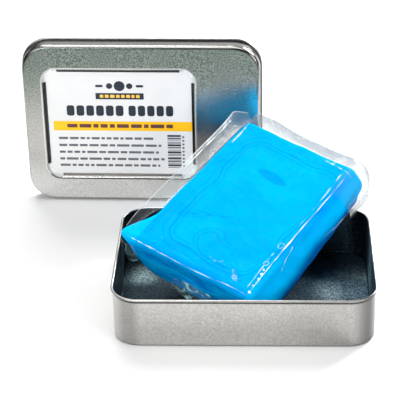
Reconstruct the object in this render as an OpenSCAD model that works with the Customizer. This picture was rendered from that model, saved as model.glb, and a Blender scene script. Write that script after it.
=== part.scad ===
// Clay bar kit: a slip-lid window tin, opened, with a film-wrapped bar of
// detailing clay propped in its base and the lid standing behind it.
// Origin: centre of the base's underside. +X runs along the tin, +Y to the
// back, +Z up. Millimetres.

/* [Tin base] */
// Length of the base over its rolled rim
base_l = 110; // [95:1:125]
// Width of the base over its rolled rim
base_w = 79.1; // [72:0.5:90]
// Height of the base to the top of its rim
base_h = 22.8; // [20:0.2:28]
// Corner radius of the base over its rolled rim
base_r = 12; // [9:0.5:16]
// Outside bend radius between the base's floor and walls
floor_bend = 1.2; // [0.8:0.1:2.4]

/* [Tinplate] */
// Thickness of the tinplate sheet
sheet = 0.28; // [0.2:0.02:0.36]
// Diameter of the rolled rims
curl_d = 1.1; // [1:0.1:1.6]

/* [Lid] */
// Clearance all round between the lid's wall and the base's rim
slip_gap = 0.12; // [0.05:0.01:0.4]
// Depth of the lid
lid_h = 8.6; // [7:0.1:12]
// Outside bend radius between the lid's face and walls
face_bend = 1.6; // [0.8:0.1:2.4]
// Place of the standing lid along the tin
lid_x = -49; // [-60:1:60]
// Distance from the base's centre back to the lid's face
lid_y = 86.4; // [85:0.2:110]
// Turn of the standing lid about the vertical
lid_yaw = 1.2; // [0:0.2:8]

/* [Window] */
// Length of the opening in the lid's face
window_l = 72; // [60:1:76]
// Width of the opening in the lid's face
window_w = 57; // [45:1:60]
// Corner radius of the opening
window_r = 7; // [4:0.5:10]
// Shift of the opening from the middle of the face
window_shift = -10.6; // [-11:0.2:11]
// Front radius of the lips rolled back along the opening's sides
lip_r = 1.2; // [0.8:0.1:1.4]
// Width of the ledge at the foot of each lip
ledge = 1.1; // [0.8:0.1:1.6]
// Thickness of the clear pane
pane_t = 0.3; // [0.2:0.05:0.5]
// How far the pane laps behind the opening's edge
pane_lap = 2; // [1:0.2:2.6]
// Thickness of the label
label_t = 0.1; // [0.08:0.02:0.2]
// Gap between the label and the opening's edge
label_gap = 1.4; // [1.2:0.1:2]

/* [Clay bar] */
// Length of the clay
clay_l = 82.4; // [76:0.2:84]
// Width of the clay at its spread end, which lies in the tin
clay_near_w = 62.6; // [54:0.2:64]
// Width of the clay at its raised end
clay_far_w = 53; // [46:0.2:60]
// Thickness of the clay
clay_t = 20.6; // [14:0.2:21]
// Bevel of the clay's edges
clay_edge = 2; // [1.5:0.1:4]
// Cut of the clay's corners, seen from above
clay_corner = 4; // [3:0.5:8]

/* [Film] */
// Thickness of the clear film
film_t = 0.35; // [0.25:0.05:0.5]
// Slack between the clay and the film
film_slack = 0.4; // [0.3:0.05:0.8]
// Thickness of the pressed double-film flaps
flap_t = 0.5; // [0.4:0.1:0.8]
// Reach of the flap past the raised end
far_flap = 5; // [3:0.5:6]
// Reach of the flap along the left side
left_flap = 6; // [3:0.5:7]
// Reach of the flap beside the raised right corner
right_flap = 3.6; // [2:0.2:4]

/* [Pose of the wrapped bar] */
// Middle of the wrapped bar along the tin
bar_x = 1.3; // [0:0.1:3]
// Middle of the wrapped bar across the tin
bar_y = 17; // [15:0.2:20]
// Height of the middle of the wrapped bar
bar_z = 29; // [28.8:0.1:34]
// Turn of the bar about the vertical
bar_yaw = -38.2; // [-40:0.2:-36]
// Rise of the bar towards its far end
bar_pitch = 18.4; // [17:0.2:19]
// Lean of the bar to its right
bar_roll = 8; // [7:0.1:9]

/* [Hidden] */
$fn = 64;

tinplate = [0.76, 0.74, 0.71];
curl_out = curl_d - sheet;             // reach of a rolled rim outside its wall
wall_in = curl_out + sheet;            // rim's outside to the wall's inside
lid_grow = 2 * (slip_gap + wall_in);   // the lid's extra size over the base
lid_l = base_l + lid_grow;
lid_w = base_w + lid_grow;
lid_r = base_r + lid_grow / 2;
lip_gap = 0.4;                         // lips stop this short of the corner arcs
flap_root = 3;                         // how far a flap is rooted in the wrap
film_out = film_slack + film_t;        // clay's surface to the film's outside
wrap_l = clay_l + 2 * film_out;
wrap_near_w = clay_near_w + 2 * film_out;
wrap_far_w = clay_far_w + 2 * film_out;
wrap_t = clay_t + 2 * film_out;
left_flap_z = wrap_t / 2 - clay_edge;  // the left flap leaves near the top face
right_flap_l = 20;                     // length of the flap beside the right corner

// Rectangle with round corners, centred.
module rounded(l, w, r) {
    square([l - 2 * r, w], center = true);
    square([l, w - 2 * r], center = true);
    for (x = [-1, 1], y = [-1, 1])
        translate([x * (l / 2 - r), y * (w / 2 - r)]) circle(r);
}

// Quarter ring of sheet, bending from straight down to straight right.
module sheet_bend(outer) {
    intersection() {
        difference() {
            circle(outer);
            circle(outer - sheet);
        }
        translate([0, -outer]) square(outer);
    }
}

// Cross-section of a pan's wall: bend, wall and rolled rim. x = 0 is the
// wall's outside and y = 0 is the underside.
module wall_section(h, bend) {
    roll = curl_d / 2;
    translate([-bend, bend]) sheet_bend(bend);
    translate([-sheet, bend]) square([sheet, h - roll - bend]);
    translate([roll - sheet, h - roll]) difference() {
        circle(roll);
        circle(roll - sheet);
        translate([-curl_d, -curl_d]) square(curl_d);
    }
}

// Straight stretch of wall along X, with its outside facing -Y.
module wall_run(len, h, bend) {
    translate([-len / 2, 0, 0]) rotate([90, 0, 90]) linear_extrude(len)
        mirror([1, 0]) wall_section(h, bend);
}

// Drawn pan of l by w over its rolled rim, open upwards.
module pan(l, w, r, h, bend) {
    wl = l - 2 * curl_out;
    ww = w - 2 * curl_out;
    wr = r - curl_out;
    linear_extrude(sheet) difference() {
        rounded(wl - 2 * bend, ww - 2 * bend, wr - bend);
        children();
    }
    for (side = [0, 180]) {
        rotate(side) translate([0, -ww / 2, 0]) wall_run(wl - 2 * wr, h, bend);
        rotate(side + 90) translate([0, -wl / 2, 0]) wall_run(ww - 2 * wr, h, bend);
    }
    for (quarter = [0:3]) {
        long_side = quarter % 2 == 0 ? wl : ww;
        short_side = quarter % 2 == 0 ? ww : wl;
        rotate(90 * quarter) translate([long_side / 2 - wr, short_side / 2 - wr, 0])
            rotate_extrude(angle = 90) translate([wr, 0]) wall_section(h, bend);
    }
}

// Lip along one side of the window: rolled back from the face, then a ledge.
// The opening's edge is at y = 0 and the opening lies towards +Y.
module window_lip(len) {
    translate([-len / 2, 0, 0]) rotate([90, 0, 90]) linear_extrude(len) {
        translate([0, lip_r]) sheet_bend(lip_r);
        translate([lip_r - sheet, lip_r]) square([ledge, sheet]);
    }
}

// The lid's own frame: face towards -Z, walls towards +Z, centred. This
// stands it on its long side behind the base, facing forwards.
module stand_lid() {
    translate([lid_x, lid_y, lid_w / 2]) rotate([-90, 0, -lid_yaw]) children();
}

// Frame of the wrapped bar: +Y along it to the raised end, +Z its top face.
module lay_bar() {
    translate([bar_x, bar_y, bar_z]) rotate([bar_pitch, 0, bar_yaw])
        rotate([0, bar_roll, 0]) children();
}

// Outline of the bar from above, wider at -Y, with its corners cut off and
// moved out by grow.
module bar_outline(grow) {
    near = clay_near_w / 2 + grow;
    far = clay_far_w / 2 + grow;
    end = clay_l / 2 + grow;
    polygon([
        [near, clay_corner - end], [far, end - clay_corner],
        [far - clay_corner, end], [clay_corner - far, end],
        [-far, end - clay_corner], [-near, clay_corner - end],
        [clay_corner - near, -end], [near - clay_corner, -end],
    ]);
}

// Slab of the bar's outline with bevelled edges, grown all round by grow.
module slab(grow) {
    t = clay_t + 2 * grow;
    hull() {
        linear_extrude(t, center = true) bar_outline(grow - clay_edge);
        linear_extrude(t - 2 * clay_edge, center = true) bar_outline(grow);
    }
}

module tin_base() {
    color(tinplate) pan(base_l, base_w, base_r, base_h, floor_bend);
}

module tin_lid() {
    color(tinplate) stand_lid() {
        pan(lid_l, lid_w, lid_r, lid_h, face_bend)
            translate([window_shift, 0]) rounded(window_l, window_w, window_r);
        translate([window_shift, 0, 0]) for (side = [0, 180]) {
            rotate(side) translate([0, -window_w / 2, 0])
                window_lip(window_l - 2 * (window_r + lip_gap));
            rotate(side + 90) translate([0, -window_l / 2, 0])
                window_lip(window_w - 2 * (window_r + lip_gap));
        }
    }
}

// The label lies on the pane's front, its edges behind the ledges.
module label() {
    inset = 2 * label_gap;
    color("white") stand_lid() translate([window_shift, 0, lip_r + sheet])
        linear_extrude(label_t)
            rounded(window_l - inset, window_w - inset, window_r - label_gap);
}

module window_pane() {
    lap = 2 * pane_lap;
    color([0.85, 0.9, 0.95, 0.4]) stand_lid()
        translate([window_shift, 0, lip_r + sheet + label_t])
            linear_extrude(pane_t)
                rounded(window_l + lap, window_w + lap, window_r + pane_lap);
}

module clay_bar() {
    color([0, 0.72, 0.98]) lay_bar() slab(0);
}

// Flaps of pressed film: past the raised end and beside its right corner at
// mid height, and along the left side near the top.
module film_flaps() {
    end_y = wrap_l / 2;
    side_x = wrap_far_w / 2;
    translate([0, 0, -flap_t / 2]) linear_extrude(flap_t) {
        translate([-side_x, end_y - flap_root])
            square([2 * side_x, far_flap + flap_root]);
        translate([side_x - flap_root, end_y - right_flap_l])
            square([right_flap + flap_root, right_flap_l]);
        translate([side_x, end_y]) intersection() {
            scale(max(far_flap, right_flap)) circle(1);
            square([right_flap, far_flap]);
        }
    }
    lean = atan((wrap_near_w - wrap_far_w) / 2 / wrap_l);
    mid_x = (wrap_near_w + wrap_far_w) / 4;
    translate([-mid_x, 0, left_flap_z]) rotate(-lean)
        translate([-left_flap, -wrap_l / 2 + flap_root, -flap_t / 2])
            cube([left_flap + flap_root, wrap_l - flap_root, flap_t]);
}

module film_wrap() {
    color([0.85, 0.92, 0.96, 0.4]) lay_bar() difference() {
        union() {
            slab(film_out);
            film_flaps();
        }
        slab(film_slack);
    }
}

tin_base();
tin_lid();
window_pane();
label();
clay_bar();
film_wrap();
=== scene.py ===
"""Clay bar kit: a film-wrapped bar of blue clay propped in the base of an opened window tin."""

import math
import random

import bpy
from mathutils import Matrix, Vector, noise
from mathutils.bvhtree import BVHTree


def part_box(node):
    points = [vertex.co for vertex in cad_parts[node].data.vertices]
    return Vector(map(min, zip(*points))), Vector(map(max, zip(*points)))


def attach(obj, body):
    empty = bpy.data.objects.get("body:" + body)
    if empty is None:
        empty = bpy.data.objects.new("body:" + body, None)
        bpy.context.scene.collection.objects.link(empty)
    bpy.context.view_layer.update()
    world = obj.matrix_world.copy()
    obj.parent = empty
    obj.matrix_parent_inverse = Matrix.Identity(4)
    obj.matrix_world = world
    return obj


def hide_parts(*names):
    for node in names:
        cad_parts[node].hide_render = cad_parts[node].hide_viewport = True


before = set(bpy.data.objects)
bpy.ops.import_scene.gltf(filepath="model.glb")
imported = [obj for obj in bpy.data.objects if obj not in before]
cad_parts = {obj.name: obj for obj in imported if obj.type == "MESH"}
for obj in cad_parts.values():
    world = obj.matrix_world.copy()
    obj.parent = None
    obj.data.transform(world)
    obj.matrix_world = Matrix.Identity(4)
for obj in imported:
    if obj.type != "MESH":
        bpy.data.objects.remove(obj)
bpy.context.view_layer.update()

MM = 0.001             # the scene is in metres, and the sizes in this script are in millimetres
WINDOW_RADIUS = 7.0    # corner radius of the lid's window
LABEL_GAP = 1.4        # how far the label stops short of the window's edge
BASE_RADIUS = 12.0     # corner radius of the base over its rolled rim
RIM_TO_WALL = 0.96     # from the outside of the rolled rim to the middle of the wall's sheet
CLAY_RADIUS = 2.6      # rounding of the clay's edges
CLAY_SEED = 3.1        # the clay and its film share their dents
RAY_BACK = 60.0        # from a point back to where its ray starts, well outside the bar

# Places along +Z of the label's frame, whose origin is on the CAD label's front.
SHEET_FRONT = -0.01    # the label's own front
SHEET_BACK = -0.06     # the label's own back
ON_PAPER = 0.03        # print on the paper
ON_BAND = 0.06         # print on other print

DOWN = Vector((0, 0, -1))
LEFTWARDS = Vector((-1, 0, 0))
CLEAR_TINT = (0.93, 0.96, 0.97)
DARK, ORANGE, PLUM, PALE, GREY = range(5)    # the inks, in the order of the print's materials


# Geometry helpers ---------------------------------------------------------


def lerp(a, b, t):
    return a + (b - a) * t


def smooth(a, b, x):
    """0 below a, 1 above b, and a smooth step between them."""
    t = min(max((x - a) / (b - a), 0.0), 1.0)
    return t * t * (3 - 2 * t)


def bump(centre, width, x):
    """A smooth bump of height 1 round centre."""
    return math.exp(-(((x - centre) / width) ** 2))


def wander(x, y, z, size, seed):
    """Smooth noise about 0, with features of about size millimetres."""
    return noise.noise(Vector((x / size + seed, y / size - seed, z / size + 0.5 * seed)))


def normals(node):
    """The directions that a CAD node's flat faces look in, each with its total area."""
    found = {}
    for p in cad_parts[node].data.polygons:
        key = tuple(round(c, 2) for c in p.normal)
        total = found.get(key, (Vector((0, 0, 0)), 0.0))
        found[key] = (total[0] + p.normal * p.area, total[1] + p.area)
    return [(v.normalized(), area) for v, area in found.values()]


def spans(node, axes):
    """Lowest and highest reach of a CAD node along each axis."""
    points = [v.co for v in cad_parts[node].data.vertices]
    return [(min(p.dot(a) for p in points), max(p.dot(a) for p in points)) for a in axes]


def frame_at(axes, distances):
    """The frame with these axes whose origin lies at these distances along them."""
    origin = sum((a * d for a, d in zip(axes, distances)), Vector((0, 0, 0)))
    return Matrix.Translation(origin) @ Matrix(axes).transposed().to_4x4()


def half_sizes(reach):
    """Half of each reach, in millimetres."""
    return [(hi - lo) / 2 / MM for lo, hi in reach]


def bar_frame():
    """The clay's own frame, with its origin at the clay's middle, and the clay's half sizes in it.

    +X points to the clay's right, +Y to its raised end and +Z out of its top face.
    """
    flat = normals("clay_bar")
    up = max((f for f in flat if f[0].z > 0.5), key=lambda f: f[1])[0]
    walls = sorted((f for f in flat if abs(f[0].dot(up)) < 0.05), key=lambda f: -f[1])
    along = (walls[0][0] + walls[1][0]).normalized()
    axes = (along.cross(up), along, up)
    reach = spans("clay_bar", axes)
    return frame_at(axes, [(lo + hi) / 2 for lo, hi in reach]), half_sizes(reach)


def lid_frame():
    """The frame of the label's front, the label's half sizes in it, and the lid's reach in it.

    +X points to the right, +Y up and +Z towards the viewer. The origin is the middle of the front.
    """
    out = max((f for f in normals("label") if f[0].y < -0.5), key=lambda f: f[1])[0]
    up = Vector((0, 0, 1))
    axes = (up.cross(out).normalized(), up, out)
    reach = spans("label", axes)
    middle = [(lo + hi) / 2 for lo, hi in reach[:2]] + [reach[2][1]]
    lid = [[(v - c) / MM for v in ends] for ends, c in zip(spans("tin_lid", axes), middle)]
    return frame_at(axes, middle), half_sizes(reach), lid


BAR, BAR_HALF = bar_frame()
LID, LABEL_HALF, LID_REACH = lid_frame()


def piece(name, points, faces, place, body, materials, stands_for=(), veil=None):
    """A mesh piece that rides on a body, from points in millimetres in the frame place.

    veil is how milky the film is at each point.
    """
    mesh = bpy.data.meshes.new(name)
    mesh.from_pydata([place @ (Vector(p) * MM) for p in points], [], faces)
    if veil is not None:
        mesh.attributes.new("veil", "FLOAT", "POINT").data.foreach_set("value", veil)
    mesh.polygons.foreach_set("use_smooth", [True] * len(mesh.polygons))
    for m in materials:
        mesh.materials.append(m)
    o = bpy.data.objects.new(name, mesh)
    bpy.context.scene.collection.objects.link(o)
    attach(o, body)
    if stands_for:
        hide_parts(*stands_for)
    return o


def film_piece(name, points, faces, material, veil, stands_for=()):
    piece(name, points, faces, BAR, "wrapped_bar", [material], stands_for, veil)


def box_grid(cells):
    """A cube from -1 to 1 as a closed grid of quads, with shared corners."""
    index, points, faces = {}, [], []

    def corner(ijk):
        if ijk not in index:
            index[ijk] = len(points)
            points.append([2 * i / n - 1 for i, n in zip(ijk, cells)])
        return index[ijk]

    for axis in range(3):
        a, b = (axis + 1) % 3, (axis + 2) % 3
        for side in (0, cells[axis]):
            for i in range(cells[a]):
                for j in range(cells[b]):
                    ring = []
                    for di, dj in ((0, 0), (1, 0), (1, 1), (0, 1)):
                        ijk = [0, 0, 0]
                        ijk[axis], ijk[a], ijk[b] = side, i + di, j + dj
                        ring.append(corner(tuple(ijk)))
                    faces.append(ring if side else ring[::-1])
    return points, faces


def sheet_grid(n, m, point, veil):
    """An open sheet of n by m quads through point(s, t), with its veil(s, t). s and t go from 0 to 1."""
    steps = [(i / n, j / m) for i in range(n + 1) for j in range(m + 1)]
    w = m + 1
    faces = [(i * w + j, (i + 1) * w + j, (i + 1) * w + j + 1, i * w + j + 1)
             for i in range(n) for j in range(m)]
    return [point(s, t) for s, t in steps], faces, [veil(s, t) for s, t in steps]


def path(points, t):
    """A point at t from 0 to 1 along a smooth curve through points."""
    last = len(points) - 1
    x = min(max(t, 0.0), 0.9999) * last
    i = int(x)
    p = [Vector(points[min(max(k, 0), last)]) for k in (i - 1, i, i + 1, i + 2)]
    f = x - i
    return 0.5 * (2 * p[1] + (p[2] - p[0]) * f
                  + (2 * p[0] - 5 * p[1] + 4 * p[2] - p[3]) * f * f
                  + (3 * p[1] - p[0] - 3 * p[2] + p[3]) * f ** 3)


# Material helpers ---------------------------------------------------------


class Nodes:
    """A new material and short calls that add nodes to it."""

    def __init__(self, name):
        self.material = bpy.data.materials.new(name)
        self.material.use_nodes = True
        self.tree = self.material.node_tree
        self.tree.nodes.clear()
        self.out = self.add("ShaderNodeOutputMaterial")
        self.where = self.add("ShaderNodeTexCoord").outputs["Object"]

    def add(self, kind, **values):
        n = self.tree.nodes.new(kind)
        for k, v in values.items():
            setattr(n, k, v)
        return n

    def join(self, source, target):
        if isinstance(source, (int, float, tuple)):
            target.default_value = source
        else:
            self.tree.links.new(source, target)

    def placed(self, place):
        """Coordinates in millimetres in another frame, as three outputs."""
        n = self.add("ShaderNodeMapping", vector_type="POINT")
        back = place.inverted()
        n.inputs["Scale"].default_value = (1 / MM, 1 / MM, 1 / MM)
        n.inputs["Rotation"].default_value = back.to_euler()
        n.inputs["Location"].default_value = back.translation / MM
        self.join(self.where, n.inputs["Vector"])
        split = self.add("ShaderNodeSeparateXYZ")
        self.join(n.outputs[0], split.inputs[0])
        return list(split.outputs)

    def math(self, op, a, b):
        n = self.add("ShaderNodeMath", operation=op)
        self.join(a, n.inputs[0])
        self.join(b, n.inputs[1])
        return n.outputs[0]

    def plus(self, a, b):
        return self.math("ADD", a, b)

    def minus(self, a, b):
        return self.math("SUBTRACT", a, b)

    def times(self, a, b):
        return self.math("MULTIPLY", a, b)

    def most(self, a, b):
        return self.math("MAXIMUM", a, b)

    def absolute(self, a):
        return self.math("ABSOLUTE", a, 0.0)

    def under(self, a, limit):
        """1 where a is less than limit, and 0 elsewhere."""
        return self.math("LESS_THAN", a, limit)

    def over(self, a, limit):
        """1 where a is greater than limit, and 0 elsewhere."""
        return self.math("GREATER_THAN", a, limit)

    def span(self, value, lo, hi, to_lo=0.0, to_hi=1.0):
        """to_lo where value is at lo or beyond it, to_hi at hi, and a smooth step between them."""
        n = self.add("ShaderNodeMapRange", interpolation_type="SMOOTHSTEP")
        for source, target in zip((value, lo, hi, to_lo, to_hi), n.inputs):
            self.join(source, target)
        return n.outputs["Result"]

    def line(self, value, at, width):
        """1 where value is at the given level, falling to 0 within width."""
        return self.span(self.absolute(self.minus(value, at)), 0.2 * width, width, 1.0, 0.0)

    def rounded(self, x, y, half_x, half_y, radius):
        """Distance outside a rounded rectangle, less than 0 inside it."""
        q = [self.minus(self.absolute(v), h - radius) for v, h in ((x, half_x), (y, half_y))]
        out = [self.most(v, 0.0) for v in q]
        away = self.math("SQRT", self.plus(self.times(out[0], out[0]), self.times(out[1], out[1])), 0.0)
        deep = self.math("MINIMUM", self.most(q[0], q[1]), 0.0)
        return self.minus(self.plus(away, deep), radius)

    def noise(self, size_mm, detail=2.0, rough=0.5, distort=0.0, where=None):
        """Smooth noise between 0 and 1, with features of about size_mm millimetres."""
        n = self.add("ShaderNodeTexNoise")
        self.join(where or self.where, n.inputs["Vector"])
        n.inputs["Scale"].default_value = 1 / MM / size_mm
        n.inputs["Detail"].default_value = detail
        n.inputs["Roughness"].default_value = rough
        n.inputs["Distortion"].default_value = distort
        return n.outputs["Fac"]

    def mix(self, fac, a, b):
        n = self.add("ShaderNodeMix", data_type="RGBA")
        self.join(fac, n.inputs["Factor"])
        self.join(a + (1.0,) if isinstance(a, tuple) else a, n.inputs["A"])
        self.join(b + (1.0,) if isinstance(b, tuple) else b, n.inputs["B"])
        return n.outputs["Result"]

    def leaning(self, way):
        """The surface's own normal, leaning a little along way."""
        n = self.add("ShaderNodeVectorMath", operation="ADD")
        self.join(self.add("ShaderNodeNewGeometry").outputs["Normal"], n.inputs[0])
        n.inputs[1].default_value = way
        unit = self.add("ShaderNodeVectorMath", operation="NORMALIZE")
        self.join(n.outputs[0], unit.inputs[0])
        return unit.outputs[0]

    def relief(self, height, depth_mm, base=None):
        """The normal of a surface with this relief on it."""
        n = self.add("ShaderNodeBump")
        if base:
            self.join(base, n.inputs["Normal"])
        n.inputs["Strength"].default_value = 1.0
        n.inputs["Distance"].default_value = depth_mm * MM
        self.join(height, n.inputs["Height"])
        return n.outputs["Normal"]

    def principled(self, **inputs):
        n = self.add("ShaderNodeBsdfPrincipled")
        for key, value in inputs.items():
            socket = n.inputs[key.replace("_", " ")]
            if isinstance(value, tuple) and len(value) == 3:
                value = value + (1.0,)
            self.join(value, socket)
        return n.outputs[0]

    def show(self, shader):
        self.join(shader, self.out.inputs["Surface"])
        return self.material

    def see_through(self, solid, tint, body):
        """The material of a clear sheet: tint where solid is 0, and body where it is 1."""
        clear = self.add("ShaderNodeBsdfTransparent")
        self.join(tint, clear.inputs["Color"])
        mixed = self.add("ShaderNodeMixShader")
        self.join(solid, mixed.inputs[0])
        self.join(clear.outputs[0], mixed.inputs[1])
        self.join(body, mixed.inputs[2])
        return self.show(mixed.outputs[0])


# Materials ----------------------------------------------------------------


def tin_finish(n):
    """Satin tinplate: a fine frosted grain with a little colour in it, broad clouding and small rubs.

    Gives how pale each speck of the grain is, and the finish's colour, roughness and relief.
    """
    grain = n.noise(0.62, detail=2.0, rough=0.7)
    speck = n.span(grain, 0.33, 0.66)
    tint = n.span(n.noise(1.1, detail=2.0, rough=0.6), 0.35, 0.65)
    cloud = n.noise(22.0, detail=3.0, rough=0.55)
    rub = n.span(n.noise(6.0, detail=6.0, rough=0.7, distort=1.5), 0.56, 0.72)
    dark = n.mix(tint, (0.44, 0.415, 0.40), (0.41, 0.42, 0.395))
    pale = n.mix(tint, (0.585, 0.55, 0.525), (0.555, 0.565, 0.535))
    rough = n.plus(n.span(cloud, 0.3, 0.7, 0.27, 0.33), n.times(rub, 0.05))
    height = n.plus(grain, n.times(cloud, 0.6))
    return speck, n.mix(speck, dark, pale), rough, height


def base_material(half_l, half_w, radius, top):
    """The base's tinplate: painted shade inside, with two painted pools of light, and painted shade
    at its walls' foot, under its rolled rim and on its front wall.

    half_l, half_w and radius are those of the walls' outline, and top is the rim's height.
    """
    n = Nodes("tinplate_base")
    speck, colour, rough, height = tin_finish(n)
    x, y, z = n.placed(Matrix.Identity(4))
    within = n.times(n.under(n.rounded(x, y, half_l, half_w, radius), 0.0), n.over(z, 0.1))

    # Inside: painted shade, with a painted pool of light at each end, and the deepest painted shade
    # at the front left and at the walls' foot.
    shade = n.mix(speck, (0.012, 0.022, 0.032), (0.10, 0.15, 0.18))
    lit = n.mix(speck, (0.05, 0.10, 0.14), (0.75, 1.0, 1.0))
    right = n.rounded(n.minus(x, 46.0), n.minus(y, 6.0), 12.0, 10.0, 8.0)
    left = n.rounded(n.plus(x, 46.0), n.minus(y, 19.0), 7.0, 9.0, 6.0)
    patches = n.most(n.span(right, -8.0, 7.0, 1.0, 0.0), n.span(left, -6.0, 4.0, 0.6, 0.0))
    dim = n.times(n.span(x, -15.0, -32.0), n.span(y, 16.0, 4.0, 0.0, 0.6))
    foot = n.times(n.line(z, 0.9, 0.7), 0.85)
    inner = n.mix(n.most(dim, foot), n.mix(patches, shade, lit), (0.005, 0.007, 0.01))

    # Outside: painted shade darkens the front wall to the right and at its left corner, and a
    # painted shadow runs under the rolled rim.
    front = n.span(y, -24.0, -35.0)
    right_end = n.plus(n.span(x, 5.0, 45.0, 0.0, 0.35), n.span(x, 43.0, 52.0, 0.0, 0.64))
    left_end = n.times(n.line(x, -47.5, 6.0), 0.45)
    outer = n.mix(n.times(n.most(right_end, left_end), front), colour, (0.12, 0.115, 0.115))
    under_rim = n.times(n.line(z, top - 1.4, 0.95), 0.97)
    outer = n.mix(under_rim, outer, (0.015, 0.02, 0.018))
    return n.show(n.principled(
        Base_Color=n.mix(within, outer, inner), Metallic=1.0,
        Roughness=n.plus(rough, n.times(within, 0.14)), Normal=n.relief(height, 0.02)))


def lid_material():
    """The lid's tinplate: painted shade towards its top edge, at its rolled rim and at its folds, and a
    painted sheen towards its bottom.

    It reflects as if it leaned back very slightly.
    """
    n = Nodes("tinplate_lid")
    speck, colour, rough, height = tin_finish(n)
    x, y, z = n.placed(LID)
    back, front = LID_REACH[2]
    half_x, half_y = LABEL_HALF[:2]

    # The face: painted shade towards the top, less of it at its right end, and a painted sheen
    # towards the bottom.
    face = n.span(z, front - 0.24, front - 0.1)
    bright = n.times(n.span(x, 34.0, 42.0), n.span(y, 24.0, 8.0, 0.0, 0.8))
    shade_mask = n.times(n.span(y, -14.0, 35.0), n.minus(1.0, bright))
    shade_colour = n.mix(speck, (0.075, 0.105, 0.085), (0.30, 0.34, 0.31))
    painted_sheen = n.mix(speck, (0.72, 0.72, 0.70), (0.99, 0.99, 0.97))
    colour = n.mix(n.times(face, shade_mask), colour, shade_colour)
    colour = n.mix(n.times(face, n.span(y, -14.0, -34.0, 0.0, 0.75)), colour, painted_sheen)

    # The window: a painted highlight on its edge and painted shade on its lips, but at the bottom
    # painted shade on its edge and a lip left unshaded.
    window = n.rounded(x, y, half_x + LABEL_GAP, half_y + LABEL_GAP, WINDOW_RADIUS)
    rim = n.line(window, 0.1, 0.6)
    bottom = n.span(y, 1.5 - half_y, -half_y)
    colour = n.mix(n.times(rim, n.minus(0.6, n.times(bottom, 0.6))), colour, (0.92, 0.9, 0.87))
    shadow = n.under(n.rounded(x, y, half_x + 0.8, half_y + 0.7, WINDOW_RADIUS), 0.0)
    lip = n.most(n.times(shadow, n.minus(1.0, bottom)), n.times(rim, bottom))

    # Painted shade: along the rolled rim, where the face bends back, in the crease round the face,
    # and on the window's lips.
    curl_shadow = n.line(z, back + 2.2, 2.2)
    bend = n.times(n.line(z, front - 0.9, 1.2), 0.4)
    crease = n.times(n.line(z, front - 0.2, 0.17), n.span(y, 5.0, 30.0, 0.0, 0.8))
    painted_shade = n.most(n.most(bend, crease), n.times(n.most(curl_shadow, lip), 0.93))
    colour = n.mix(painted_shade, colour, (0.01, 0.014, 0.016))
    return n.show(n.principled(
        Base_Color=colour, Metallic=1.0, Roughness=n.minus(rough, 0.07),
        Normal=n.relief(height, 0.02, n.leaning((0.0, 0.0, 0.09)))))


def clay_material():
    """Soft blue clay under clinging film: darker lines where the film lets go, painted light on
    the sides, and painted shade low on the right side.
    """
    n = Nodes("clay")
    x, y, z = n.placed(BAR)
    soft = n.noise(24.0, detail=1.0, rough=0.4, distort=0.6)
    fine = n.noise(2.2, detail=4.0, rough=0.6)

    # The top: paler within a wavy ring, along which the film lets go, and swirls at the near end.
    wave = n.times(n.minus(soft, 0.5), 9.0)
    ring = n.plus(n.rounded(n.minus(x, 3.4), n.plus(y, 0.4), 23.6, 33.4, 8.0), wave)
    swirl = n.noise(34.0, detail=0.0, rough=0.4, distort=2.2)
    near = n.span(y, -4.0, -14.0)
    base = n.mix(n.span(soft, 0.40, 0.60), (0.0, 0.34, 0.86), (0.0, 0.365, 0.88))
    base = n.mix(n.span(ring, 0.0, 1.0, 0.0, 0.35), base, (0.0, 0.305, 0.84))

    # A small trapped pool of air, a slightly tilted ellipse.
    pool_x = n.math("DIVIDE", n.minus(x, 1.0), 7.8)
    pool_y = n.math("DIVIDE", n.plus(n.minus(y, 17.8), n.times(x, 0.08)), 2.5)
    pool = n.plus(n.times(pool_x, pool_x), n.times(pool_y, pool_y))
    marks = ((n.line(ring, 0.0, 0.6), 0.7), (n.line(ring, -2.0, 0.55), 0.4), (n.line(ring, 3.0, 0.5), 0.35),
             (n.times(n.line(swirl, 0.5, 0.01), near), 0.65),
             (n.times(n.line(swirl, 0.56, 0.009), near), 0.5), (n.span(pool, 0.8, 1.15, 1.0, 0.0), 0.55))
    for mask, amount in marks:
        base = n.mix(n.times(mask, amount), base, (0.0, 0.20, 0.74))

    # The sides: painted light makes them brighter than the top, painted shade darkens the right side
    # low down, and the near end is streaked.
    for value, start, full in ((x, 29.0, 31.5), (y, -40.0, -42.0), (y, 39.0, 41.0), (x, -28.0, -29.5)):
        base = n.mix(n.times(n.span(value, start, full), 0.75), base, (0.0, 0.52, 1.0))
    # Painted shade low on the right side, where it faces down.
    height = n.plus(z, n.times(n.absolute(n.minus(y, 4.0)), 0.12))
    low = n.times(n.span(height, 3.5, -4.0), n.span(x, 18.0, 26.0))
    base = n.mix(n.times(low, 0.85), base, (0.0, 0.09, 0.52))
    drawn = n.add("ShaderNodeCombineXYZ")
    for value, socket in zip((n.times(x, 0.22), y, z), drawn.inputs):
        n.join(value, socket)
    streak_size = 3.5 / MM    # these coordinates are in millimetres already
    streaks = n.noise(streak_size, detail=5.0, rough=0.75, distort=0.4, where=drawn.outputs[0])
    end = n.times(n.span(y, -40.0, -41.5), n.span(z, 9.5, 7.5))
    base = n.mix(n.times(end, n.times(n.span(streaks, 0.36, 0.66), 0.75)), base, (0.0, 0.13, 0.62))
    base = n.mix(n.span(fine, 0.35, 0.75, 0.0, 0.14), base, (0.0, 0.42, 0.95))
    return n.show(n.principled(
        Base_Color=base, Roughness=0.6, Specular_IOR_Level=0.0,
        Normal=n.relief(n.plus(soft, n.times(fine, 0.15)), 0.3)))


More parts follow.
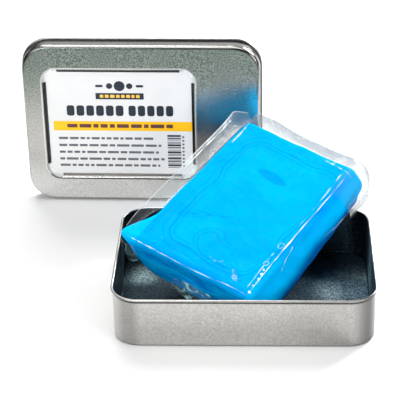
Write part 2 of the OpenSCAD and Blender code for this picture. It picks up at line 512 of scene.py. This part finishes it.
def film_material(name, body_colour, streak, rim, tint=CLEAR_TINT):
    """Clear film: milky where its veil attribute says so, along its fine pulls and where seen edge-on.

    streak and rim are how strong the pulls and the edges are. tint is the colour of the light that
    comes through milky film.
    """
    n = Nodes(name)
    pulls = n.noise(9.0, detail=4.0, rough=0.65, distort=3.0)
    thin = n.span(n.absolute(n.minus(pulls, 0.5)), 0.0, 0.018, 1.0, 0.0)
    cloud = n.span(n.noise(4.0, detail=3.0, rough=0.6, distort=1.0), 0.3, 0.7, 0.75, 1.2)
    veil = n.add("ShaderNodeAttribute", attribute_name="veil").outputs["Fac"]
    facing = n.add("ShaderNodeLayerWeight")
    facing.inputs["Blend"].default_value = 0.3
    edge_on = n.times(facing.outputs["Facing"], rim)
    solid = n.plus(n.plus(n.times(veil, cloud), edge_on), n.times(thin, streak))
    body = n.principled(Base_Color=body_colour, Roughness=0.14, Specular_IOR_Level=0.6,
                        Normal=n.relief(pulls, 0.5))
    through = n.mix(n.span(veil, 0.04, 0.2), CLEAR_TINT, tint)
    return n.see_through(n.math("MINIMUM", solid, 0.97), through, body)


def pane_material():
    """Clear rigid plastic with a little haze, milky outside the label."""
    n = Nodes("pane")
    haze = n.noise(14.0, detail=3.0, rough=0.6)
    x, y = n.placed(LID)[:2]
    border = n.over(n.rounded(x, y, LABEL_HALF[0] - 0.05, LABEL_HALF[1] - 0.05, 4.0), 0.0)
    solid = n.plus(n.span(haze, 0.3, 0.7, 0.16, 0.24), n.times(border, 0.6))
    body = n.principled(Base_Color=(0.8, 0.82, 0.83), Roughness=0.12, Normal=n.relief(haze, 0.05))
    return n.see_through(solid, (0.9, 0.92, 0.93, 1.0), body)


def paper_material():
    """White coated sticker stock with a faint fibre tooth, and a greyer gummed back."""
    n = Nodes("label")
    fibre = n.noise(0.6, detail=4.0, rough=0.6)
    cloud = n.span(n.noise(18.0), 0.3, 0.7)
    coated = n.mix(cloud, (0.745, 0.745, 0.745), (0.775, 0.775, 0.77))
    gummed = n.mix(cloud, (0.30, 0.30, 0.295), (0.36, 0.36, 0.35))
    behind = n.under(n.placed(LID)[2], (SHEET_FRONT + SHEET_BACK) / 2)
    return n.show(n.principled(Base_Color=n.mix(behind, coated, gummed), Roughness=0.42,
                               Specular_IOR_Level=0.4, Normal=n.relief(fibre, 0.01)))


def ink_material(name, colour, paler):
    """Printed ink, a little uneven in density."""
    n = Nodes(name)
    wear = n.noise(0.5, detail=3.0, rough=0.6)
    shade = n.mix(n.span(wear, 0.35, 0.75), colour, paler)
    return n.show(n.principled(Base_Color=shade, Roughness=0.4, Specular_IOR_Level=0.4,
                               Normal=n.relief(wear, 0.004)))


def floor_material():
    n = Nodes("studio_floor")
    pale = n.mix(n.noise(60.0), (0.77, 0.77, 0.77), (0.78, 0.78, 0.78))
    return n.show(n.principled(Base_Color=pale, Roughness=0.9, Specular_IOR_Level=0.1))


# The clay and its film ----------------------------------------------------


def bar_shape(x, y, z, half):
    """Turns a point of the plain slab into the pressed, sagging bar.

    Its left edge is straight, its right side and its raised end bulge, and its near left corner is
    lifted and drawn out to a tip. u, v and w are the point's place across, along and up the slab,
    from -1 to 1.
    """
    hx, hy, hz = half
    u, v, w = x / hx, y / hy, z / hz
    right_edge = hx + lerp(0.5, -4.2, (v + 1) / 2)
    left_edge = hx - 1.8 - 0.6 * smooth(0.85, 1.0, v)
    out = (right_edge if u > 0 else left_edge) / hx
    x = x * lerp(1.0, out, min(abs(u), 1.0))

    # Bulging sides.
    if u > 0:
        full = smooth(0.45, 0.95, v) * (1 - 0.8 * smooth(0.82, 1.0, v))
        belly = lerp(4.4, 5.6, full) * bump(lerp(-0.15, 0.15, smooth(0.3, 0.9, v)), 0.75, w)
    else:
        belly = 1.5 * bump(0.0, 0.7, w)
    x += math.copysign(belly * smooth(0.45, 1.0, abs(u)), u)

    # Bulging ends, most of all right of the middle of the raised end.
    full = smooth(0.2, 0.7, u) * (1 - 0.7 * smooth(0.8, 1.0, u)) * smooth(0.0, 1.0, v)
    swell = lerp(1.2, 2.8, full)
    y += math.copysign(swell * bump(0.0, 0.7, w) * smooth(0.7, 1.0, abs(v)), v)

    # The underside rises to the left.
    rise = lerp(9.5, 4.4, smooth(-1.0, 0.6, v))
    steepness = lerp(6.0, 1.6, smooth(-1.0, -0.3, v))
    z += rise * max(-u, 0.0) ** steepness * (1 - w) / 2

    # The top of the near left corner is drawn out and down, and the right side's foot spreads.
    corner = smooth(0.4, 1.0, -u) * smooth(0.56, 0.96, -v)
    x -= corner * (1.2 + 7.6 * smooth(0.0, 0.95, w))
    z -= 1.6 * corner * smooth(0.2, 1.0, w)
    x += 1.6 * smooth(0.5, 1.0, u) * smooth(0.1, 1.0, -w)

    # A slight crown on the top face, and less of one underneath.
    crown = 0.9 if w > 0 else 0.27
    z += crown * (1 - u * u) * (1 - v * v) * smooth(0.0, 1.0, abs(w))
    return x, y, z


def bar_skin(cell, grow, rough):
    """Closed grid of the bar's surface, grown by grow, with dents of depth rough."""
    points, faces = box_grid([max(4, round(2 * h / cell)) for h in BAR_HALF])
    full = [h + grow for h in BAR_HALF]
    r = CLAY_RADIUS + grow
    shaped = []
    for p in points:
        q = [c * h for c, h in zip(p, full)]
        core = [min(max(c, r - h), h - r) for c, h in zip(q, full)]
        off = Vector([c - k for c, k in zip(q, core)])
        q = Vector(core) + off * (r / off.length)
        x, y, z = bar_shape(q.x, q.y, q.z, full)
        dent = rough * (wander(x, y, z, 14.0, CLAY_SEED) + 0.4 * wander(x, y, z, 5.0, CLAY_SEED + 7))
        push = off.normalized() * dent
        shaped.append((x + push.x, y + push.y, z + push.z))
    return shaped, faces


def clay(material):
    points, faces = bar_skin(cell=1.0, grow=0.0, rough=0.45)
    piece("clay", points, faces, BAR, "wrapped_bar", [material], ["clay_bar"])


class Skin:
    """The film that clings to the clay, and a way to lay other film on it."""

    def __init__(self):
        self.points, self.faces = bar_skin(cell=0.8, grow=0.6, rough=0.55)
        self.tree = BVHTree.FromPolygons(self.points, self.faces)

    def drape(self, points, way, gap):
        """The points moved along way onto the film, and lifted off it by gap. One that misses stays."""
        laid = []
        for p in points:
            hit, normal = self.tree.ray_cast(Vector(p) - way * RAY_BACK, way)[:2]
            laid.append(hit + normal * gap if hit else Vector(p))
        return laid


def skin(film, clear):
    veil = [0.0] * len(film.points)
    film_piece("film_skin", film.points, film.faces, clear, veil, ["film_wrap"])


def far_pouch(film, material):
    """The loose end of the bag past the raised end and round its right corner.

    It leaves the bar along inner, passes through outer and comes back along lower.
    """
    hy, hz = BAR_HALF[1:]
    inner = [(-28, hy - 0.8, hz), (-10, hy - 0.6, hz), (10, hy - 0.6, hz), (22, hy - 0.8, hz),
             (26, hy - 3, hz), (26.6, hy - 9, hz), (27.6, hy - 17, hz)]
    outer = [(-26.5, 45.8, 10.8), (-18, 47.0, 10.3), (-3.5, 45.6, 9.5), (14.7, 46.0, 8.5), (24, 47.8, 7.5),
             (29, 47.9, 6.8), (33.2, 45.2, 5.8), (36, 41.2, 4.4), (37.5, 37.2, 2.6), (37.0, 33.0, 0.8),
             (35.0, 27.0, -1.5)]
    lower = [(-26, hy + 0.6, 2), (0, hy + 1.0, -4), (20, hy + 1.0, -6), (29, hy - 1, -6),
             (31, hy - 8, -6), (32, hy - 18, -7)]
    n, m = 70, 16
    wrinkle, seed = 0.6, 1.0
    steps = [i / n for i in range(n + 1)]
    top_line = film.drape([path(inner, s) for s in steps], DOWN, 0.1)

    def point(s, t):
        a, o, c = top_line[round(s * n)], path(outer, s), path(lower, s)
        mid = 2 * o - (a + c) / 2
        p = (1 - t) ** 2 * a + 2 * t * (1 - t) * mid + t * t * c
        crumple = wrinkle * math.sin(math.pi * t)
        p.z += crumple * (wander(p.x, p.y, p.z, 7.0, seed) + 0.4 * wander(p.x, p.y, p.z, 2.5, seed))
        p.y += 0.5 * crumple * wander(p.x, p.z, p.y, 5.0, seed + 4)
        return p

    def veil(s, t):
        past_corner = smooth(0.5, 0.66, s)
        body = lerp(0.24, 0.03, past_corner) * (1 - 0.6 * smooth(0.6, 0.8, t))
        return body + 0.3 * bump(0.5, 0.07, t) + 0.34 * past_corner * bump(0.5, 0.14, t)

    points, faces, milky = sheet_grid(n, m, point, veil)
    film_piece("film_far_end", points, faces, material, milky)


def left_flap(clear):
    """The pressed flap along the left side: milky towards the raised end, and clear at its tip."""
    hy = BAR_HALF[1]
    outer = [(-36.8, -37.0, 9.6), (-37.1, -30.3, 10.6), (-37, -20, 11.0), (-36.8, 1, 11.2), (-37, 18, 11.0),
             (-37, 31.9, 11), (-37.3, 37.6, 11.0), (-37.2, 41.6, 11), (-31.6, 44.2, 11)]
    inner = [(-34.0, -34.5, 9.0), (-32.0, -28, 10.0), (-30.0, -20, 10.4), (-29.4, 1, 10.6), (-29.2, 18, 10.6),
             (-29.0, 30, 10.6), (-28.6, 36, 10.6), (-28.2, hy - 1, 10.6), (-27.6, hy - 0.2, 10.6)]

    def point(s, t):
        p = path(inner, s).lerp(path(outer, s), t)
        ripple = 0.5 * math.sin(math.pi * t) * wander(p.x, p.y, 0.0, 6.0, 2.0)
        p.z += ripple + 0.25 * t * wander(p.y, 0, 0, 11.0, 5.0)
        return p

    def veil(s, t):
        milky = lerp(0.05, 0.4, smooth(0.25, 0.62, s)) * lerp(1.0, 0.25, smooth(0.66, 0.8, s))
        edges = 0.5 * smooth(0.93, 1.0, t) + 0.12 * (1 - smooth(0.0, 0.18, t))
        return milky * (1.0 - 0.45 * bump(0.62, 0.2, t)) + edges

    points, faces, milky = sheet_grid(90, 10, point, veil)
    film_piece("film_left_flap", points, faces, clear, milky)


def loose_sheet(name, first, second, veil, material, wrinkle, size, seed, n=40, m=24):
    """A small wrinkled sheet of film that spans from the path first to the path second."""

    def point(s, t):
        p = path(first, s).lerp(path(second, s), t)
        amount = wrinkle * (0.3 + 0.7 * math.sin(math.pi * t))
        p.z += amount * wander(p.x, p.y, p.z, size, seed)
        p.y += amount * wander(p.z, p.x, p.y, size, seed + 3)
        p.x += 0.5 * amount * wander(p.y, p.z, p.x, size, seed + 6)
        return p

    points, faces, milky = sheet_grid(n, m, point, veil)
    film_piece(name, points, faces, material, milky)


def near_corner(material):
    """Crumpled film hanging below the bag's pinched near left corner."""
    upper = [(-29, -42.6, 7.0), (-32.5, -42.8, 6.5), (-35.5, -42.4, 7.0)]
    lower = [(-27.0, -43.4, -1.5), (-31.0, -43.6, -4.0), (-33.6, -42.6, -5.0)]

    def veil(s, t):
        # Milky towards two of its edges: painted highlights on the crumpled film.
        return 0.05 + 0.5 * smooth(0.85, 1.0, s) + 0.4 * smooth(0.85, 1.0, t)

    loose_sheet("film_crumple_corner", upper, lower, veil, material, wrinkle=1.2, size=3.0, seed=9.0)


def near_crumple(material):
    """Crumpled film hanging against the lower part of the near end."""
    upper = [(-7, -43.9, 0.5), (0, -44.0, 3.0), (8, -44.2, 3.5), (16, -44.0, 1.5), (23, -43.7, -1.0)]
    lower = [(-9, -43.9, -5.0), (-1, -44.6, -8.0), (7, -45.2, -9.5), (15, -45.0, -10.0), (22, -44.0, -10.0)]
    length, depth = 34, 14

    def veil(s, t):
        # Milky along its creases and its lower edge: painted highlights on the crumpled film.
        crease = max(0.0, wander(length * s, depth * t, 0, 2.6, 5.0))
        return math.sin(math.pi * s) * (0.05 + 2.2 * crease) + 0.3 * smooth(0.9, 1.0, t)

    loose_sheet("film_crumple_near", upper, lower, veil, material,
                wrinkle=1.6, size=3.5, seed=14.0, n=90, m=40)


def fold(name, film, points, way, width, height, strength, material, n, seed):
    """A pinched fold of film that runs along points on the bar, tapering at both ends."""
    line = film.drape([path(points, i / n) for i in range(n + 1)], way, 0.18)
    up = -way
    verts, veil = [], []
    for i, p in enumerate(line):
        run = (line[min(i + 1, n)] - line[max(i - 1, 0)]).normalized()
        side = run.cross(up).normalized()
        s = i / n
        taper = smooth(0.0, 0.12, s) * (1 - smooth(0.88, 1.0, s))
        vary = max(0.0, 0.7 + 1.3 * wander(1.3 * i, seed, 0.0, 9.0, seed + 1))
        half = 0.5 * width * max(0.15, taper * vary)
        # The milky white along the fold is a painted highlight.
        milky = strength * (0.25 + 0.75 * taper) * min(1.0, vary)
        for k, lift, share in ((-1, 0.0, 0.55), (0, height * taper, 1.0), (1, 0.0, 0.55)):
            verts.append(p + side * half * k + up * lift)
            veil.append(milky * share)
    faces = [(3 * i + k, 3 * i + k + 1, 3 * i + k + 4, 3 * i + k + 3) for i in range(n) for k in (0, 1)]
    film_piece(name, verts, faces, material, veil)


# The folds are real ridges of film, and their milky white is a painted highlight.
# The bright folds: name, the way they are laid on the bar, width, height, strength, cuts along
# them, seed, and the points that they run through.
FOLDS = (
    # Along the near end's top edge.
    ("film_fold_near", DOWN, 0.4, 0.2, 0.8, 60, 1,
     [(-24, -41.0, 9), (-10, -41.2, 9), (6, -41.2, 9), (20, -40.4, 9), (30.5, -40.2, 9)]),
    ("film_fold_near_left", DOWN, 0.4, 0.2, 0.7, 60, 2,
     [(-33, -40.5, 8), (-28, -41, 8), (-18, -41.2, 8)]),
    # Along the right side's top edge.
    ("film_fold_right", DOWN, 0.55, 0.25, 0.8, 110, 3,
     [(26.8, 43, 9), (28.2, 33, 9), (28.4, 20, 9), (28.8, 3, 9), (29.2, -10, 9), (29.8, -24, 9),
      (30.6, -40, 9)]),
    ("film_fold_right_inner", DOWN, 0.5, 0.15, 0.5, 60, 4,
     [(25.8, 36, 9), (26.6, 24, 9), (27.0, 12, 9), (27.6, 0, 9)]),
    ("film_fold_right_low", DOWN, 0.4, 0.15, 0.5, 60, 5,
     [(27.0, -16, 9), (27.8, -26, 9), (28.6, -38, 9)]),
    # Down the right side.
    ("film_fold_side_dash", LEFTWARDS, 0.6, 0.2, 0.75, 60, 6,
     [(31, -8, 9.5), (31, -14.5, 8.6), (31, -21, 6.6)]),
    ("film_fold_side", LEFTWARDS, 0.55, 0.2, 0.6, 60, 7,
     [(31, 35.4, -7.3), (31, 28, -5.2), (31, 21, -3), (31, 9, 0.2)]),
    # At the raised end's two corners.
    ("film_fold_corner_a", DOWN, 0.6, 0.2, 0.6, 60, 8,
     [(-28.0, 42.6, 9), (-26.8, 35, 9), (-26.4, 25, 9)]),
    ("film_fold_corner_b", DOWN, 0.5, 0.15, 0.6, 60, 9,
     [(13.5, 38.4, 9), (19.8, 37.9, 9), (26, 37.2, 9), (30, 36.2, 9)]),
    # Over the left flap.
    ("film_streak_a", DOWN, 0.6, 0.1, 0.7, 90, 13,
     [(-30.6, -24, 11.0), (-31.2, 0, 11.5), (-31.4, 18, 11.5), (-31.0, 35, 11.4)]),
    ("film_streak_b", DOWN, 0.6, 0.1, 0.7, 90, 14,
     [(-34.4, -4, 11.7), (-34.8, 14, 11.7), (-34.6, 28, 11.6), (-35.0, 37, 11.6)]),
    # Faint wide pale patches on the top: painted glints.
    ("film_glint_a", DOWN, 2.0, 0.1, 0.14, 30, 11,
     [(17.8, -32.6, 9), (20.5, -35.4, 9), (23.4, -37.4, 9)]),
    ("film_glint_b", DOWN, 1.5, 0.1, 0.14, 30, 12,
     [(5.4, -32.2, 9), (8.6, -33.2, 9), (12.4, -31.6, 9)]),
    # A short one across the raised end's top edge.
    ("film_fold_corner_c", DOWN, 0.6, 0.15, 0.6, 16, 10,
     [(20.2, 41.2, 9), (19.6, 39.6, 9), (19.2, 37.8, 9)]),
)

# Small bubbles and specks of painted glint: x, y, outer radius, and width of the ring. A speck is all ring.
BUBBLES = (
    (27.4, -12.0, 1.3, 0.25), (27.8, -23.0, 1.1, 0.25), (29.4, -28.6, 0.5, 0.5), (29.8, -31.2, 0.35, 0.35),
    (29.0, -26.4, 0.4, 0.4), (30.6, -38.6, 0.55, 0.55), (29.9, -35.2, 0.3, 0.3),
)


def folds(film, material):
    """The folds, real ridges of film whose milky white is painted highlight: along the bar's top edges,
    crossing at its corners, and down its right side.
    """
    for name, way, width, height, strength, cuts, seed, points in FOLDS:
        fold(name, film, points, way, width, height, strength, material, cuts, seed)


def bubbles(film, material):
    """Small trapped bubbles, and specks of painted glint, along the top's right edge."""
    count, above_top = 20, 12.0
    points, faces, veil = [], [], []
    for x, y, r, width in BUBBLES:
        first = len(points)
        for k in range(count):
            a = 2 * math.pi * k / count
            for reach in (r, r - width):
                points.append((x + reach * math.cos(a), y + 1.25 * reach * math.sin(a), above_top))
                # A speck is a painted glint, milkier than a bubble's ring.
                veil.append(0.7 if width == r else 0.3)
        for k in range(count):
            a, b = first + 2 * k, first + 2 * ((k + 1) % count)
            faces.append((a, b, b + 1, a + 1))
    film_piece("film_bubbles", film.drape(points, DOWN, 0.3), faces, material, veil)


# The label and its print --------------------------------------------------


class Print:
    """Flat printed blocks, collected as one mesh."""

    def __init__(self):
        self.points, self.faces, self.inks = [], [], []

    def block(self, ink, x0, y0, x1, y1, r=0.25):
        """A block with round corners, whose radius stays just under half of each side."""
        r = min(r, (x1 - x0) / 2.01, (y1 - y0) / 2.01)
        height = ON_BAND if ink in (PLUM, PALE) else ON_PAPER
        first = len(self.points)
        corners = ((x1 - r, y1 - r, 0), (x0 + r, y1 - r, 90), (x0 + r, y0 + r, 180), (x1 - r, y0 + r, 270))
        for cx, cy, start in corners:
            for k in range(4):
                a = math.radians(start + 30 * k)
                self.points.append((cx + r * math.cos(a), cy + r * math.sin(a), height))
        self.faces.append(tuple(range(first, len(self.points))))
        self.inks.append(ink)

    def words(self, ink, x0, x1, y, height, sizes, gap):
        """A row of blocks of random lengths from x0 to x1, with y at its middle."""
        shortest = 0.8
        x = x0
        while x < x1 - shortest:
            size = min(random.uniform(*sizes), x1 - x)
            self.block(ink, x, y - height / 2, x + size, y + height / 2)
            x += size + gap


def label_sheet(material):
    """The label as a thin sheet, a hair off the pane behind it."""
    back = LID.inverted()
    outline = [back @ v.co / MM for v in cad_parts["label"].data.vertices]
    outline = sorted((p for p in outline if p.z > -0.02), key=lambda p: math.atan2(p.y, p.x))
    count = len(outline)
    points = [(p.x, p.y, z) for z in (SHEET_FRONT, SHEET_BACK) for p in outline]
    faces = [tuple(range(count)), tuple(reversed(range(count, 2 * count)))]
    faces += [(i, count + i, count + (i + 1) % count, (i + 1) % count) for i in range(count)]
    o = piece("label_sheet", points, faces, LID, "lid", [material], ["label"])
    o.data.polygons.foreach_set("use_smooth", [False] * len(faces))


def ornament(ink):
    """Three discs between two short bars."""
    middle = 19.3
    for x, r in ((-4.4, 1.5), (0.3, 2.6), (5.0, 1.5)):
        ink.block(DARK, x - r, middle - r, x + r, middle + r, r)
    for x0, x1 in ((-11.0, -7.4), (8.0, 11.6)):
        ink.block(DARK, x0, middle - 0.6, x1, middle + 0.6, 0.6)


def heading(ink):
    """Two rows of plain upright blocks with round corners, side by side."""
    pitch, gap = 4.4, 1.0
    for x0, x1 in ((-25.0, 1.8), (4.2, 25.2)):
        count = round((x1 - x0) / pitch)
        step = (x1 - x0 + gap) / count
        for k in range(count):
            x = x0 + k * step
            ink.block(DARK, x, 3.9, x + step - gap, 9.3, 1.1)


def bar_pattern(ink):
    """Stripes of random thickness with a row of small squares beside them."""
    y, top = -23.2, -6.0
    while y < top:
        thick = random.choice((0.3, 0.35, 0.6, 1.0))
        ink.block(DARK, 22.1, y, 28.5, y + thick, 0.02)
        y += thick + random.choice((0.35, 0.5, 0.8))
    side, pitch = 1.0, 1.9
    for k in range(9):
        y = -22.6 + pitch * k
        ink.block(GREY, 29.1, y, 29.1 + side, y + side, 0.2)


def label_print(materials):
    """Generic print: ornament, heading of blocks, orange band, lines of blocks and a bar pattern."""
    random.seed(11)
    ink = Print()
    ornament(ink)
    ink.block(DARK, -11.0, 12.5, 11.6, 15.7, 0.2)
    ink.words(PALE, -9.0, 10.0, 14.1, 1.5, (1.2, 2.2), 0.7)
    heading(ink)
    ink.block(ORANGE, -31.6, -3.85, 34.1, 1.05, 0.1)
    ink.words(PLUM, -25.2, 24.9, -1.3, 1.9, (2.0, 6.5), 1.0)
    for y, x1 in ((-7.85, 15.4), (-11.55, 19.1), (-15.15, 18.5), (-18.75, 20.5), (-22.15, 18.3)):
        ink.words(GREY, -29.6, x1, y, 1.2, (1.4, 6.0), 0.85)
    bar_pattern(ink)
    o = piece("label_print", ink.points, ink.faces, LID, "lid", materials)
    o.data.polygons.foreach_set("material_index", ink.inks)


# Studio -------------------------------------------------------------------


def camera():
    """The photograph's viewpoint: a long lens, looking down from the front."""
    turn, rise, roll = math.radians(2.715), math.radians(28.549), math.radians(-1.223)
    target, distance = Vector((-22.69, 87.66, 0.0)) * MM, 0.7637
    back = Vector((math.sin(turn) * math.cos(rise), -math.cos(turn) * math.cos(rise), math.sin(rise)))
    right = (-back).cross(Vector((0, 0, 1))).normalized()
    up = right.cross(-back)
    x = right * math.cos(roll) + up * math.sin(roll)
    y = up * math.cos(roll) - right * math.sin(roll)
    data = bpy.data.cameras.new("camera")
    data.sensor_width = 36.0
    data.lens = 142.47
    data.clip_start = 0.01
    data.clip_end = 50.0
    o = bpy.data.objects.new("camera", data)
    o.matrix_world = Matrix.Translation(target + back * distance) @ Matrix((x, y, back)).transposed().to_4x4()
    bpy.context.scene.collection.objects.link(o)
    bpy.context.scene.camera = o


def softbox(name, place, aim, size, power, spread=180.0):
    """A rectangular light at place that looks at aim. Its size is in metres, like the places."""
    data = bpy.data.lights.new(name, "AREA")
    data.spread = math.radians(spread)
    data.shape = "RECTANGLE"
    data.size, data.size_y = size
    data.energy = power
    o = bpy.data.objects.new(name, data)
    o.location = place
    o.rotation_euler = (Vector(aim) - Vector(place)).to_track_quat("-Z", "Y").to_euler()
    bpy.context.scene.collection.objects.link(o)


def sun(name, aim, strength, spread):
    data = bpy.data.lights.new(name, "SUN")
    data.energy = strength
    data.angle = math.radians(spread)
    o = bpy.data.objects.new(name, data)
    o.rotation_euler = Vector(aim).to_track_quat("-Z", "Y").to_euler()
    bpy.context.scene.collection.objects.link(o)


def lights():
    softbox("overhead", (0.0, -0.04, 0.75), (0.0, 0.12, 0.0), (0.6, 0.5), 0.8, spread=100.0)
    softbox("left_fill", (-0.7, -1.1, 0.75), (0.0, 0.0, 0.05), (0.9, 0.6), 15.0)
    softbox("right_fill", (0.9, -0.7, 0.45), (0.0, 0.0, 0.05), (0.5, 0.5), 6.0)
    softbox("back_light", (0.5, 0.65, 0.5), (0.03, 0.05, 0.045), (0.35, 0.3), 3.2, spread=80.0)
    softbox("left_back", (-0.2, 0.5, 0.8), (0.0, 0.04, 0.05), (0.4, 0.3), 1.2, spread=100.0)
    softbox("back_panel", (0.0, 1.25, 0.72), (0.0, 0.09, 0.08), (1.4, 0.5), 1.2)
    sun("room", (0.0, 0.1, -1.0), 0.5, spread=120.0)
    world = bpy.data.worlds.new("studio")
    world.use_nodes = True
    world.node_tree.nodes["Background"].inputs["Color"].default_value = (0.03, 0.031, 0.033, 1.0)
    bpy.context.scene.world = world
    bpy.context.scene.view_settings.view_transform = "Standard"


def floor():
    """A plain square floor that reaches r metres each way."""
    mesh = bpy.data.meshes.new("floor")
    r = 3.0
    mesh.from_pydata([(-r, -r, 0), (r, -r, 0), (r, r, 0), (-r, r, 0)], [], [(0, 1, 2, 3)])
    mesh.materials.append(floor_material())
    o = bpy.data.objects.new("floor", mesh)
    bpy.context.scene.collection.objects.link(o)


def dress(node, material):
    """Gives a carried-over CAD node a new material."""
    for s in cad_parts[node].material_slots:
        s.material = material


def tin():
    """The tin's own CAD pieces, with their materials."""
    x, y, top = (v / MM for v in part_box("tin_base")[1])
    wall = (v - RIM_TO_WALL for v in (x, y, BASE_RADIUS))
    dress("tin_base", base_material(*wall, top))
    dress("tin_lid", lid_material())
    dress("window_pane", pane_material())


def label():
    label_sheet(paper_material())
    label_print([
        ink_material("ink_dark", (0.010, 0.018, 0.032), (0.022, 0.03, 0.045)),
        ink_material("ink_orange", (1.0, 0.50, 0.0), (1.0, 0.55, 0.01)),
        ink_material("ink_plum", (0.10, 0.03, 0.03), (0.14, 0.05, 0.04)),
        ink_material("ink_pale", (0.95, 0.55, 0.08), (0.95, 0.6, 0.12)),
        ink_material("ink_grey", (0.10, 0.11, 0.125), (0.16, 0.17, 0.18)),
    ])


def wrapped_bar():
    clay(clay_material())
    film = Skin()
    clear = film_material("film", (0.60, 0.64, 0.67), 0.015, 0.0)
    far = film_material("film_far", (0.45, 0.455, 0.46), 0.03, 0.0, (0.69, 0.705, 0.71))
    # Its milky white makes the painted highlights of the folds and specks.
    crease = film_material("film_crease", (0.74, 0.85, 0.87), 0.2, 0.1)
    # Its milky white makes the painted highlights of the crumpled film at the near end.
    near = film_material("film_near", (0.55, 0.95, 1.0), 0.25, 0.1, (0.85, 0.97, 1.0))
    skin(film, clear)
    far_pouch(film, far)
    left_flap(clear)
    folds(film, crease)
    bubbles(film, crease)
    near_corner(near)
    near_crumple(near)


def main():
    camera()
    lights()
    floor()
    tin()
    label()
    wrapped_bar()


main()
